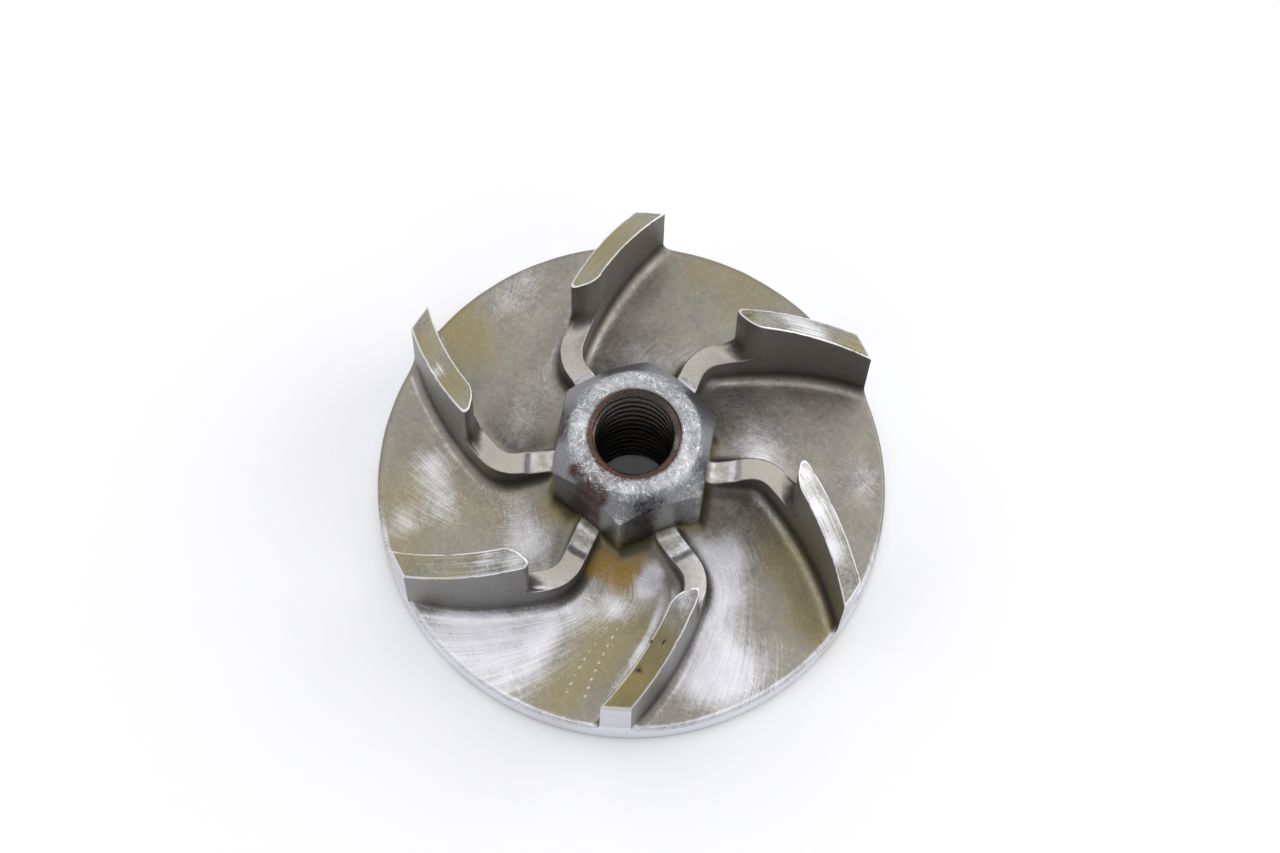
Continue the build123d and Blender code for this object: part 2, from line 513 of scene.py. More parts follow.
# %% Threaded hole
bore_radius, thread_depth, thread_pitch, back_mouth_radius = 3.32, 0.64, 1.25, 3.9
crest_flat, root_flat = 1 / 4, 1 / 8           # shares of the pitch
bore_columns = 96
bore_dir = np.arange(bore_columns + 1) * 360 / bore_columns
bore_z = np.linspace(hub_height - 0.03, 0.0, 172)[:, None]
turns = (bore_z / thread_pitch - bore_dir / 360) % 1
ridge = (np.abs(turns - 0.5) - root_flat / 2) / (0.5 - crest_flat / 2 - root_flat / 2)
ridge = np.clip(ridge, 0, 1)
thread_r = bore_radius + thread_depth * (1 - ridge)
top_sink = mouth_radius - (hub_height - bore_z)
back_sink = back_mouth_radius - bore_z
bore_r = np.maximum(thread_r, np.maximum(top_sink, back_sink))
turn = np.radians(bore_dir)
bore_grid = np.stack(np.broadcast_arrays(
    bore_r * np.cos(turn), bore_r * np.sin(turn), bore_z), axis=-1)
patches.append(("bore", bore_grid, bore_grid * 0))
print(len(patches), "patches")

# %% [markdown]
# ### One skin
# The patches share their border points, so merging points that coincide turns them into one
# skin. Joining solids with booleans would leave long thin faces that shade badly. Two gaps are
# left, at the two ends of the hole, where rings with different numbers of points meet. Going
# round both rings at once and making a triangle at each point closes them.

# %% Weld the patches
finishes = ["floor", "foot", "wall", "top", "edge", "tip", "rim", "back", "hub", "bore"]
points, quads, slots, grain = [], [], [], []
for finish, grid, grain_place in patches:
    rows, columns = grid.shape[:2]
    index = np.arange(rows * columns).reshape(rows, columns) + sum(len(p) for p in points)
    quads.append(np.stack([index[:-1, :-1], index[:-1, 1:], index[1:, 1:], index[1:, :-1]],
                          axis=-1).reshape(-1, 4))
    slots.append(np.full(len(quads[-1]), finishes.index(finish)))
    points.append(grid.reshape(-1, 3) * MM)
    grain.append(grain_place.reshape(-1, 3))
print(sum(len(q) for q in quads), "quads")

# %% Make the mesh
mesh = bpy.data.meshes.new("impeller_casting")
mesh.from_pydata(np.concatenate(points).tolist(), [], np.concatenate(quads).tolist())
mesh.polygons.foreach_set("material_index", np.concatenate(slots))
corner_grain = np.concatenate(grain)[np.concatenate(quads).ravel()]
mesh.attributes.new("grain", "FLOAT_VECTOR", "CORNER").data.foreach_set(
    "vector", corner_grain.ravel())
casting = bpy.data.objects.new("impeller_casting", mesh)
bpy.context.scene.collection.objects.link(casting)
same_place, too_short = 0.0006 * MM, 0.0003 * MM
skin = bmesh.new()
skin.from_mesh(mesh)
bmesh.ops.remove_doubles(skin, verts=skin.verts, dist=same_place)
bmesh.ops.dissolve_degenerate(skin, edges=skin.edges, dist=too_short)
print(f"{len(skin.verts)} points after welding")


# %% Close the ends of the hole
def close_gap(low_z, high_z, finish):
    """Joins the two open rings between these heights with a band of triangles."""
    rims = [v for v in skin.verts if v.is_boundary and low_z <= v.co.z / MM <= high_z]
    middle = sum(v.co.xy.length for v in rims) / len(rims)
    round_them = sorted((atan2(v.co.y, v.co.x), v.co.xy.length > middle, v.index, v) for v in rims)
    last = [[v for _, outer, _, v in round_them if outer == side][-1] for side in (False, True)]
    for _, outer, _, v in round_them:
        skin.faces.new((last[0], last[1], v)).material_index = finishes.index(finish)
        last[outer] = v


skin.verts.index_update()
close_gap(hub_height - 0.1, hub_height, "hub")
close_gap(-0.01, 0.01, "back")
bmesh.ops.recalc_face_normals(skin, faces=skin.faces)
open_edges = sum(not e.is_manifold for e in skin.edges)
print(f"{len(skin.faces)} faces, {open_edges} open edges, "
      f"{skin.calc_volume() / MM**3:.0f} cubic millimetres")
skin.to_mesh(mesh)
skin.free()
mesh.shade_smooth()

# %% [markdown]
# ## Marks of casting and of use
# A cast skin is never as smooth as its drawing. The mould leaves it slightly wavy, and that shows
# in the way reflections wander over it. Grit and the pump's housing have also nicked the top
# edges of the blades. A displace modifier would move the turned faces too, so the points are
# moved in code: cast points by a soft noise, and points near a nick into the metal.

# %% Which points belong to which finish
def read_mesh(data, key, width, kind=float):
    """One property of every element as an array."""
    values = np.zeros(len(data) * width, kind)
    data.foreach_get(key, values)
    return values.reshape(-1, width) if width > 1 else values


point_count = len(mesh.vertices)
loop_points = read_mesh(mesh.loops, "vertex_index", 1, int)
loop_finish = np.repeat(read_mesh(mesh.polygons, "material_index", 1, int),
                        read_mesh(mesh.polygons, "loop_total", 1, int))
touches = np.zeros((point_count, len(finishes)), bool)
touches[loop_points, loop_finish] = True


def only(*names):
    """True for the points that only these finishes touch."""
    wanted = [finishes.index(name) for name in names]
    return ~np.delete(touches, wanted, axis=1).any(axis=1)


cast_skin = only("floor", "foot", "wall")
foot_skin = only("foot")
print(f"{cast_skin.sum()} of {point_count} points are on cast skin")

# %% Cast waviness
places = read_mesh(mesh.vertices, "co", 3) / MM
normals = read_mesh(mesh.vertices, "normal", 3)


def wave(points, size):
    """Soft noise from -1 to 1 with bumps about this many millimetres across."""
    return np.array([noise.noise(Vector(p / size)) for p in points])


swell = 0.030 * wave(places, 2.6) + 0.014 * wave(places + 50, 1.1)
swell += np.where(foot_skin, 0.018 * wave(places + 90, 0.45), 0)
places += normals * (swell * cast_skin)[:, None]
print(f"cast skin waves by up to {np.abs(swell * cast_skin).max():.3f} mm")

# %% Where the nicks are: x, y, radius, depth in millimetres
seed = np.random.default_rng(17)
nicks_a_side = 7
nicks = [(-15.1, -10.4, 0.50, 0.40), (-10.3, -12.3, 0.35, 0.10), (5.2, -13.2, 0.5, 0.14),
         (4.4, -15.1, 0.4, 0.10), (3.4, -17.4, 0.3, 0.12), (-17.6, 5.2, 0.45, 0.10),
         (17.2, -8.9, 0.35, 0.10), (-3.9, -2.4, 0.28, 0.16), (-5.2, 0.9, 0.3, 0.06),
         (1.7, 4.9, 0.3, 0.06), (4.6, -2.8, 0.3, 0.05)]
for k in range(blade_count):
    for side in (1.0, -1.0):
        for _ in range(nicks_a_side):
            at, size = seed.uniform(0.02, 0.98), seed.uniform(0.2, 0.4)
            depth = seed.uniform(0.02, 0.07)
            r, left = on_top(np.array(side), at, 0.0)
            turn = np.radians(blade_angle(r, left) + blade_turn + k * sector)
            nicks.append((r * np.cos(turn), r * np.sin(turn), size, depth))
print(len(nicks), "nicks")

# %% Nicks
on_hub = np.hypot(places[:, 0], places[:, 1]) < 7
high = places[:, 2] > np.where(on_hub, hub_height - 0.8, shoulder + 1)
for x, y, size, depth in nicks:
    near = np.hypot(places[:, 0] - x, places[:, 1] - y) / size
    deep = np.clip(places[:, 2] - top_height(np.hypot(x, y)) + 0.8, 0, 0.8) / 0.8
    deep = np.where(places[:, 2] > eye_height, 1, deep)
    dent = np.where(high & (near < 1), depth * deep * (1 - np.minimum(near, 1) ** 2) ** 2, 0)
    places -= normals * dent[:, None]
mesh.vertices.foreach_set("co", (places * MM).ravel())
mesh.update()
print(f"deepest nick {max(depth for *_, depth in nicks):.2f} mm")

# %% [markdown]
# ### Where the metal is stained and where it shines
# Coolant has left an olive film on most of the casting, thicker in the sheltered corners, and a
# yellow stain beside the hub. Sweeps of grit have scoured other places bright, and the same bright
# mark also paints highlights on the floor and hub where light falls. The soot mark is dark dirt on
# the blades' tops and a painted shade on the hub's flats that face -Y. Each mark is a soft round
# spot with a place, a size and a strength. The strengths are added up at every point of the skin,
# and each finish breaks them up with noise. Painted masks would need an image.

# %% Spots on the floor: x, y, size in millimetres, strength
floor_spots = {
    "film": [(-19.5, -2.1, 4.5, .5), (-19.9, -8.5, 3.5, .45), (-14.0, -2.5, 3.0, .3),
             (-1.8, -16.5, 2.6, .9), (-5.1, -19.7, 2.4, .8), (0.5, -13.2, 2.0, .8),
             (-2.2, -12.5, 2.0, .5), (14.3, -6.5, 2.8, .8), (16.4, -11.2, 2.4, .8),
             (17.7, -13.0, 1.2, 1.), (11.0, -4.0, 2.4, .4), (9.2, 18.7, 3.6, .6),
             (4.1, 20.2, 2.2, .45), (-15.2, 11.8, 3.0, .7), (-16.8, 14.5, 2.5, .7),
             (-6.6, -4.0, 1.5, .7), (-11.4, -4.4, 2.5, .3), (1.5, -11.5, 2.0, .5)],
    "ochre": [(-2.1, -7.8, 1.4, 1.), (-3.6, -8.5, 1.2, .9), (0.0, -10.0, 1.5, .6),
              (1.1, -8.1, 1.4, .5), (-1.0, -9.2, 1.5, .8), (17.9, -13.2, 0.9, .5)],
    # Partly scoured metal, partly painted highlight: the spots east and west of the hub, by the
    # east rim and in the inner south-east passage are painted highlights.
    "scour_and_highlight": [(-12.5, -13.9, 3.0, .9), (-8.0, -15.1, 3.0, .9), (-10.5, -17.8, 2.6, .9),
              (-15.0, -14.9, 3.0, .9), (-3.8, -12.2, 1.6, .5), (2.4, -8.8, 0.9, 1.),
              (1.8, -10.0, 0.9, 1.), (-0.8, -12.0, 1.2, .6), (-7.0, -12.5, 2.0, .5),
              (8.7, -10.5, 2.4, .6), (8.2, -15.8, 2.8, .8), (10.4, -17.4, 3.0, .8),
              (7.0, -18.5, 1.8, .5), (5.5, -7.2, 1.6, .5), (8.4, -7.4, 2.2, .9),
              (6.7, -12.4, 2.0, .6), (-17.9, 0.4, 2.0, .6), (-16.6, -3.3, 2.0, .6),
              (-19.8, -4.8, 1.5, .5), (-10.7, 18.0, 2.2, .4), (-12.8, 15.4, 2.0, .3),
              (20.6, 1.5, 1.8, .42), (-8.6, -6.0, 2.0, .45), (11.6, 3.0, 2.6, .35),
              (13.5, 6.5, 2.5, .15)],
}
print(sum(len(spots) for spots in floor_spots.values()), "spots on the floor")

# %% Spots on the blades' tops
top_spots = {
    "film": [(2.6, -17.6, 2.6, .9), (0.5, -21.0, 2.5, 1.), (-3.5, 18.0, 5.0, .6),
             (-16.2, 4.0, 2.6, .6), (-20.0, 8.5, 3.0, .5), (-18.6, -10.6, 2.8, .5),
             (-14.0, -11.8, 2.5, .4), (18.6, 10.3, 2.4, .6), (8.6, 12.2, 1.6, .5)],
    "ochre": [(-5.9, 13.6, 0.6, .6), (-18.4, -11.6, 3.0, .5), (-14.2, -12.4, 2.4, .4),
              (0.2, -21.4, 2.4, .8), (2.6, -18.4, 2.0, .5), (1.2, -20.0, 1.4, .5)],
    "scour_and_highlight": [(12.3, 12.1, 1.1, .6), (13.9, 11.6, 1.3, 1.), (15.6, 11.2, 1.0, .8),
              (14.4, -2.6, 1.3, .9), (15.8, -5.2, 1.5, 1.), (17.3, -8.3, 1.4, 1.),
              (4.9, -14.0, 1.1, .8), (3.7, -15.9, 0.6, .6), (-9.4, -11.5, 1.2, .8),
              (-11.7, -11.2, 1.1, .6), (-12.2, -12.3, 1.2, .3), (-15.5, -11.6, 3.0, .3),
              (-17.4, 5.5, 0.8, .9)],
    "soot_and_shade": [(3.3, -17.3, 0.45, .85), (1.6, -19.5, 0.5, .9), (4.2, -15.2, 0.7, .6),
             (2.4, -17.4, 0.3, .8), (16.9, -4.2, 1.0, .6), (18.5, -7.0, 1.0, .6),
             (15.2, -1.8, 1.0, .6), (19.7, -9.6, 1.3, .5), (18.4, 10.4, 2.4, .5),
             (9.2, 11.9, 1.4, .5), (-15.1, -10.6, 0.5, .6), (-17.2, 5.0, 1.2, .3)],
}
print(sum(len(spots) for spots in top_spots.values()), "spots on the blades' tops")

# %% Spots on the hub
hub_spots = {
    "ochre": [(-3.7, -4.5, 0.9, 1.3), (-4.9, -3.4, 0.7, 1.2), (-2.6, -5.6, 0.8, 1.3),
              (-6.5, 1.8, 0.8, 1.2), (-6.2, 0.3, 0.7, .9), (-4.3, -5.3, 0.7, .9),
              (1.8, -6.2, 1.2, .5), (-1.6, -4.0, 1.0, .6), (4.6, -3.9, 0.8, .4)],
    # Partly scratched metal, partly painted highlight.
    "scour_and_highlight": [(-0.4, -5.4, 1.0, .3), (5.2, -3.6, 1.5, .7), (-0.9, -7.3, 0.5, .8),
              (6.1, -4.4, 0.5, .5), (-5.2, 0.6, 1.2, .3), (3.5, -0.6, 1.1, .5),
              (-3.5, 0.6, 1.1, .4)],
    # These soot spots are painted shade on the hub's flats that face -Y.
    "soot_and_shade": [(-4.6, -5.0, 1.8, .7), (1.2, -6.3, 2.4, .75)],
}
print(sum(len(spots) for spots in hub_spots.values()), "spots on the hub")

# %% [markdown]
# ### Wear and painted light that follow the shape
# Some wear, and some painted light and shade, depend on the shape alone, so they are worked out
# from the shape. Steep walls get a painted shade, darker towards their feet. Coolant has left film
# round the hub's foot, and the mouth of the hole has rusted. The rounds of the fillets get a
# painted highlight where they tilt a little from level, one blade's foot fillet gets a painted
# highlight line, and the worn edge of the disc gets a painted highlight on its -Y side. The step
# on each foot, the inner part of each foot and the turned ring of the hub are made bright. Each is
# a bump of the form exp(-x*x), centred where it shows.

# %% Where each point lies
def bump(distance, width):
    """1 where the distance is 0, and next to nothing two widths away."""
    return np.exp(-((distance / width) ** 2))


x, y, z = places.T
radii, directions = np.hypot(x, y), np.degrees(np.arctan2(y, x))
near_hub = (radii < 8.2) & (z > hub_floor + 1.0)
up_high = (z > shoulder + 1) & ~near_hub
on_floor = cast_skin & ~foot_skin
facing_up = np.abs(normals[:, 2])
inside_rim = radii < disc_radius - 0.5
print(f"{near_hub.sum()} points on the hub, {up_high.sum()} on tall blades")

# %% Walls and their feet
# Steep faces are mixed towards a darker wall colour as a painted shade.
steep = np.clip((0.85 - facing_up) / 0.55, 0, 1) * cast_skin * inside_rim
# Painted shade on steep faces, stronger towards their feet.
wall_foot_shade = 0.3 * steep * np.clip((12 - z) / 7, 0.1, 1)
# A painted highlight along the fillets, where they tilt a little from level.
fillet_highlight = (0.35 + 0.25 * np.clip((radii - 9) / 5, 0, 1)) * on_floor * inside_rim
fillet_highlight = fillet_highlight * bump(facing_up - 0.93, 0.05)
print(f"{(steep > 0.5).sum()} points on steep walls")

# %% One blade's painted fillet highlight
# A painted highlight line along the fillet beside one blade's foot.
beside = (directions - blade_turn - blade_angle(radii, 2.55) + sector / 2) % sector - sector / 2
one_fillet_highlight = bump(np.radians(beside) * radii, 0.35) * cast_skin * ~near_hub
one_fillet_highlight *= bump(np.hypot(x - 1.3, y + 15.3), 4.5)
print(f"{(one_fillet_highlight > 0.5).sum()} points in the pale line")

# %% Feet, hub, rim and mouth
step_shine = 0.9 * foot_skin * bump(radii - relief_radius, 0.25)
relief_shine = 0.6 * foot_skin * (radii < relief_radius)
ring_shine = 0.42 * np.clip((z - 16.3) / 0.6, 0, 1) * (near_hub & (radii > 4.1))
# A painted highlight on the disc's worn edge, on its -Y side only.
rim_highlight = 0.9 * cast_skin * (z < 4) * np.clip((radii - disc_radius + 0.5) / 0.2, 0, 1)
rim_highlight = rim_highlight * np.clip(-y / 8, 0, 1)
hub_film = np.where(near_hub, np.clip((11 - z) / 3, 0, 1), 0.2)
foot_film = 0.7 * bump(radii - hub_radius(directions), 0.8) * ~near_hub * ~foot_skin
mouth_rust = bump(radii - 3.9, 0.45) * (z > hub_height - 1.2)
mouth_rust = mouth_rust * (0.85 + 0.45 * np.cos(np.radians(directions + 110)))
print(f"mouth rust up to {mouth_rust.max():.2f}")

# %% Add the marks up at every point
marks = {
    "film": hub_film + foot_film,
    "ochre": mouth_rust,
    "scour_and_highlight": ring_shine + step_shine + relief_shine + fillet_highlight + rim_highlight + 1.1 * one_fillet_highlight,
    "soot_and_shade": np.zeros(point_count),
    "steep": steep,
    "wall_foot_shade": wall_foot_shade,
}
for mark, strength in marks.items():
    sheltered = np.where(foot_skin & (mark != "scour_and_highlight"), 0.25, 1 - 0.8 * steep)
    for spots, where in ((floor_spots, ~near_hub & ~up_high), (top_spots, up_high),
                         (hub_spots, near_hub)):
        for spot_x, spot_y, size, amount in spots.get(mark, []):
            spread = bump(np.hypot(x - spot_x, y - spot_y), size)
            strength = strength + where * amount * spread * sheltered
    strength = np.clip(strength, 0, 1)
    mesh.attributes.new(mark, "FLOAT", "POINT").data.foreach_set("value", strength)
    print(f"{mark}: mean {strength.mean():.2f}")

# %% [markdown]
# ## Finishes
# The whole part is one steel casting, so one recipe of layers serves all its surfaces, and only
# the numbers change. From the bottom up the layers are the cast tone, a painted shade on steep
# walls, a painted shade at their feet, the olive film, stain, soot, which also paints shade on the
# hub's flats, bright scoured metal with painted highlights, and fine scratches. All colours are
# sRGB hex values, which one function turns to linear light. A metal's colour is its reflection, so
# those values are what a white surrounding would look like in it. Metallic is 1, less where a stain
# covers the metal, and roughness is about 0.4 for a blasted casting and 0.3 for a turned face.

# %% Colour and node helpers
def linear(code):
    """A hex colour as linear red, green, blue and alpha."""
    parts = [int(code[i:i + 2], 16) / 255 for i in (1, 3, 5)]
    return [c / 12.92 if c <= 0.04045 else ((c + 0.055) / 1.055) ** 2.4 for c in parts] + [1.0]


def node(tree, kind, inputs=(), output=None, **settings):
    """Adds a node, sets it up, links or fills its inputs, and gives one of its outputs."""
    made = tree.nodes.new(kind)
    for key, value in settings.items():
        setattr(made, key, value)
    for key, value in dict(inputs).items():
        usable = [socket for socket in made.inputs if socket.enabled]
        named = [socket for socket in usable if socket.name == key]
        socket = usable[key] if isinstance(key, int) else named[0]
        if isinstance(value, bpy.types.NodeSocket):
            tree.links.new(value, socket)
        else:
            socket.default_value = value
    if isinstance(output, str):
        return made.outputs[output]
    return next((socket for socket in made.outputs if socket.enabled), None)


print("film colour", [round(c, 3) for c in linear("#8B8265")[:3]])

# %% [markdown]
# ### Noises
# Three noises vary every finish. Clouds about 3 mm across make some places darker, streaks follow
# the grain that was stored with the points, and specks are as fine as grit. Round faces have no
# stored grain, so their streaks go by place instead. An image could hold such patterns too, but
# noise has no seams and stays sharp close up.


# %% Clouds, streaks and specks
cloud_size = 3.2          # millimetres


def three_noises(tree, here, grain, grit, follow_grain):
    """Cloud, streak and speck noise. here is the place in millimetres."""
    flow = here
    if follow_grain:
        flow = node(tree, "ShaderNodeAttribute", output="Vector", attribute_name="grain")
    stretch = [1 / grain[0], 1 / grain[1], 1 / grain[0]]
    flow = node(tree, "ShaderNodeVectorMath", {0: flow, 1: stretch}, operation="MULTIPLY")
    noises = []
    for place, size, detail, roughness in (
            (here, cloud_size, 4.0, 0.55), (flow, 1.0, 3.0, 0.6), (here, grit, 2.0, 0.5)):
        noises.append(node(tree, "ShaderNodeTexNoise", {
            "Vector": place, "Scale": 1 / size, "Detail": detail, "Roughness": roughness}))
    return noises


print(f"clouds of {cloud_size} mm, streaks and specks")


# %% Where a mark shows
def mark_mask(tree, mark, noises, shares, low, high, strength=1.0):
    """A mark's strength at each point, broken up by these shares of the three noises."""
    total = node(tree, "ShaderNodeAttribute", output="Fac", attribute_name=mark)
    total = node(tree, "ShaderNodeMath", {0: total, 1: strength}, operation="MULTIPLY")
    for texture, share in zip(noises, shares):
        part = node(tree, "ShaderNodeMath", {0: texture, 1: share, 2: -share / 2},
                    operation="MULTIPLY_ADD")
        total = node(tree, "ShaderNodeMath", {0: total, 1: part}, operation="ADD")
    return node(tree, "ShaderNodeMapRange", {"Value": total, "From Min": low, "From Max": high},
                interpolation_type="SMOOTHSTEP")


print("marks:", ", ".join(marks))

# %% [markdown]
# ### Scratches and chatter dots
# Scratches are the peaks of noise drawn out thin, in three directions, and they show most where
# the scour mark is strong, which also holds painted highlights. Real ones are about 0.02 mm wide,
# too fine to show, so they are drawn three to four times as wide. In one passage a tool has
# chattered and left two rows of small dots, 0.78 mm apart. Modelling marks this shallow would cost
# far more points than the whole casting has.


# %% Scratches
def scratch_mask(tree, here, size, sparse, amount):
    """Thin scratches of this width and length in millimetres, densest where the scour mark is
    strong.
    """
    found = None
    for turn in (20, 75, 140):
        line = node(tree, "ShaderNodeMapping", {
            "Vector": here, "Rotation": [0.3, 0.2, radians(turn)], "Scale": [*size, 0.4]},
            vector_type="TEXTURE")
        line = node(tree, "ShaderNodeTexNoise", {"Vector": line, "Scale": 1.0, "Detail": 1.0})
        line = node(tree, "ShaderNodeMapRange", {"Value": line, "From Min": sparse,
                                                 "From Max": sparse + 0.08})
        found = line if found is None else node(tree, "ShaderNodeMath", {0: found, 1: line},
                                                operation="MAXIMUM")
    worn = node(tree, "ShaderNodeAttribute", output="Fac", attribute_name="scour_and_highlight")
    worn = node(tree, "ShaderNodeMath", {0: worn, 1: 1.6 * amount, 2: 0.06 * amount},
                operation="MULTIPLY_ADD", use_clamp=True)
    return node(tree, "ShaderNodeMath", {0: found, 1: worn}, operation="MULTIPLY")


print("scratches in three directions")

# %% Chatter dots
dot_spacing, dot_half_length = 0.78, 0.16      # the second as a share of the spacing
dot_sector, row_slope = 2, 0.675
row_middle, row_half_length = 17.0, 3.4        # distance from the axis
first_row, second_row = (0.26, 0.13), (-1.45, 0.12)      # place and half width


def chatter_dots(tree, speck):
    """Two rows of dots on the floor of one passage."""
    place = node(tree, "ShaderNodeAttribute", output="Vector", attribute_name="grain")
    across, along, in_sector = node(tree, "ShaderNodeSeparateXYZ", {0: place}).node.outputs
    row = node(tree, "ShaderNodeMath", {0: along, 1: -row_slope, 2: across},
               operation="MULTIPLY_ADD")
    first, second = [node(tree, "ShaderNodeMath", {0: row, 1: middle, 2: width},
                          operation="COMPARE") for middle, width in (first_row, second_row)]
    row = node(tree, "ShaderNodeMath", {0: second, 1: 0.75, 2: first}, operation="MULTIPLY_ADD")
    beat = node(tree, "ShaderNodeMath", {0: along, 1: 1 / dot_spacing}, operation="MULTIPLY")
    beat = node(tree, "ShaderNodeMath", {0: beat}, operation="FRACT")
    beat = node(tree, "ShaderNodeMath", {0: beat, 1: 0.5, 2: dot_half_length},
                operation="COMPARE")
    dots = node(tree, "ShaderNodeMath", {0: in_sector, 1: dot_sector * grain_jump, 2: 1.0},
                operation="COMPARE")
    reach = node(tree, "ShaderNodeMath", {0: along, 1: row_middle, 2: row_half_length},
                 operation="COMPARE")
    patchy = node(tree, "ShaderNodeMapRange", {"Value": speck, "From Min": 0.35,
                                               "From Max": 0.55})
    for part in (row, beat, reach, patchy, 0.55):
        dots = node(tree, "ShaderNodeMath", {0: dots, 1: part}, operation="MULTIPLY")
    return dots


print(f"{2 * row_half_length / dot_spacing:.0f} dots in a row")

# %% [markdown]
# ### The recipe
# Each layer covers what lies below it as far as its mask says. A material for each kind of wear
# would leave hard borders where they meet, and masks on one material let them fade into each
# other. The same noises and scratches also give the bump, and a stain makes the metal rougher and
# less metallic where it lies.


# %% Masks of the wear
def wear_masks(tree, here, noises, streaky, scour_and_highlight, scratches, scratch, sparse):
    """How far each layer covers the ones below it. Shares are of cloud, streak and speck."""
    cloud, streak, speck = noises
    mottled = node(tree, "ShaderNodeMath", {0: cloud, 1: speck}, operation="ADD")
    mottled = node(tree, "ShaderNodeMapRange", {"Value": mottled, "From Min": 0.75,
                                                "From Max": 1.25})
    steep_shade_mask, wall_foot_shade_mask = [node(tree, "ShaderNodeAttribute", output="Fac", attribute_name=mark)
                   for mark in ("steep", "wall_foot_shade")]
    filmed = mark_mask(tree, "film", noises, (0.8, 0.35, 0.5), 0.05, 1.10)
    stained = mark_mask(tree, "ochre", noises, (1.8, 0.2, 0.8), 0.30, 1.10)
    soot_and_shade_mask = mark_mask(tree, "soot_and_shade", noises, (0.8, 0.9 * streaky, 0.9), 0.40, 0.95)
    scour_and_highlight_mask = mark_mask(tree, "scour_and_highlight", noises, (0.9, streaky, 0.25), 0.2, 1.3, scour_and_highlight)
    scratched = scratch_mask(tree, here, scratch, sparse, scratches)
    return mottled, steep_shade_mask, wall_foot_shade_mask, filmed, stained, soot_and_shade_mask, scour_and_highlight_mask, scratched


# The first colour paints shade on steep faces and the second paints more shade at their feet; the
# third is soot on the blades' tops and painted shade on the hub's flats.
wall_shade, wall_foot_shade_colour, soot_shade, scratch_shade = "#807E7B", "#53524F", "#35322C", "#F2F3F6"
print("8 layers of wear")


# %% One recipe for worn metal
def worn_metal(name, tones, film, bright, grain, grit, rough, depth, stain="#A0803A",
               scour_and_highlight=1.0, scratches=0.2, scratch=(0.08, 2.4), sparse=0.66, dots=False,
               follow_grain=True, streaky=1.0):
    """Layers of cast tone, painted shade, film, stain, soot and scouring with painted highlights.
    Sizes are in millimetres.
    """
    material = bpy.data.materials.new(name)
    material.use_nodes = True
    tree = material.node_tree
    here = node(tree, "ShaderNodeTexCoord", output="Object")
    here = node(tree, "ShaderNodeVectorMath", {0: here, 1: [1 / MM] * 3}, operation="MULTIPLY")
    noises = three_noises(tree, here, grain, grit, follow_grain)
    masks = wear_masks(tree, here, noises, streaky, scour_and_highlight, scratches, scratch, sparse)
    shades = tones[1], wall_shade, wall_foot_shade_colour, film, stain, soot_shade, bright, scratch_shade
    layers = list(zip(shades, masks))
    if dots:
        layers.append((bright, chatter_dots(tree, noises[-1])))
    colour = linear(tones[0])
    for shade, amount in layers:
        colour = node(tree, "ShaderNodeMix", {"Factor": amount, "A": colour, "B": linear(shade)},
                      data_type="RGBA")
    shader = tree.nodes["Principled BSDF"]
    tree.links.new(colour, shader.inputs["Base Color"])
    add_surface(tree, shader, noises, masks, rough, depth)
    return material


# %% Roughness, metal and bump
def add_surface(tree, shader, noises, masks, rough, depth):
    """Specks vary the roughness, a stain dulls the metal, and marks stand in or out by depth."""
    _, streak, speck = noises
    stained, scratched = masks[4], masks[7]
    wear = node(tree, "ShaderNodeMath", {0: speck, 1: 0.16, 2: rough - 0.08},
                operation="MULTIPLY_ADD")
    wear = node(tree, "ShaderNodeMath", {0: stained, 1: 0.2, 2: wear}, operation="MULTIPLY_ADD")
    metal = node(tree, "ShaderNodeMath", {0: stained, 1: -0.4, 2: 1.0}, operation="MULTIPLY_ADD")
    height = node(tree, "ShaderNodeMath", {0: streak, 1: speck}, operation="ADD")
    height = node(tree, "ShaderNodeMath", {0: scratched, 1: -0.6, 2: height},
                  operation="MULTIPLY_ADD")
    relief = node(tree, "ShaderNodeBump", {"Height": height, "Distance": depth * MM,
                                           "Strength": 1.0})
    for socket, value in (("Roughness", wear), ("Metallic", metal), ("Normal", relief)):
        tree.links.new(value, shader.inputs[socket])


finish_materials = {}
print("recipe ready")

# %% [markdown]
# ### Cast surfaces
# The floor is cast skin rubbed smooth by the coolant: a soft satin sheen with fine streaks that
# run along the passage, and olive film. The real streaks are about 0.05 mm wide and are drawn at
# 0.16 mm. The feet keep the texture of the mould's sand, with grains of about 0.2 mm, so they
# glint paler and rougher. The walls are out of reach of the grit: dull, even and grey, and their
# tone is a little darker than the floor's as a painted shade. Bump gives all this texture,
# because it is finer than the points of the skin.

# %% Cast surfaces
finish_materials["floor"] = worn_metal(
    "cast_steel_tarnished", ("#827E78", "#96928A"), "#8B8265", "#DFDFE6", (0.16, 5.0), 0.5,
    0.42, 0.010, scratches=0.4, scratch=(0.06, 2.0), sparse=0.63, dots=True)
finish_materials["foot"] = worn_metal(
    "cast_steel_rough", ("#9F9B94", "#B5B1AA"), "#918A77", "#DDDDE2", (0.5, 0.7), 0.22,
    0.42, 0.020)
# Its tones are a painted shade: the walls are drawn darker than the floor.
finish_materials["wall"] = worn_metal(
    "cast_steel_wall_painted_shade", ("#787673", "#888682"), "#7C7663", "#DFDFE6", (0.16, 5.0), 0.5,
    0.40, 0.008, scour_and_highlight=0.3)
print(len(finish_materials), "finishes")

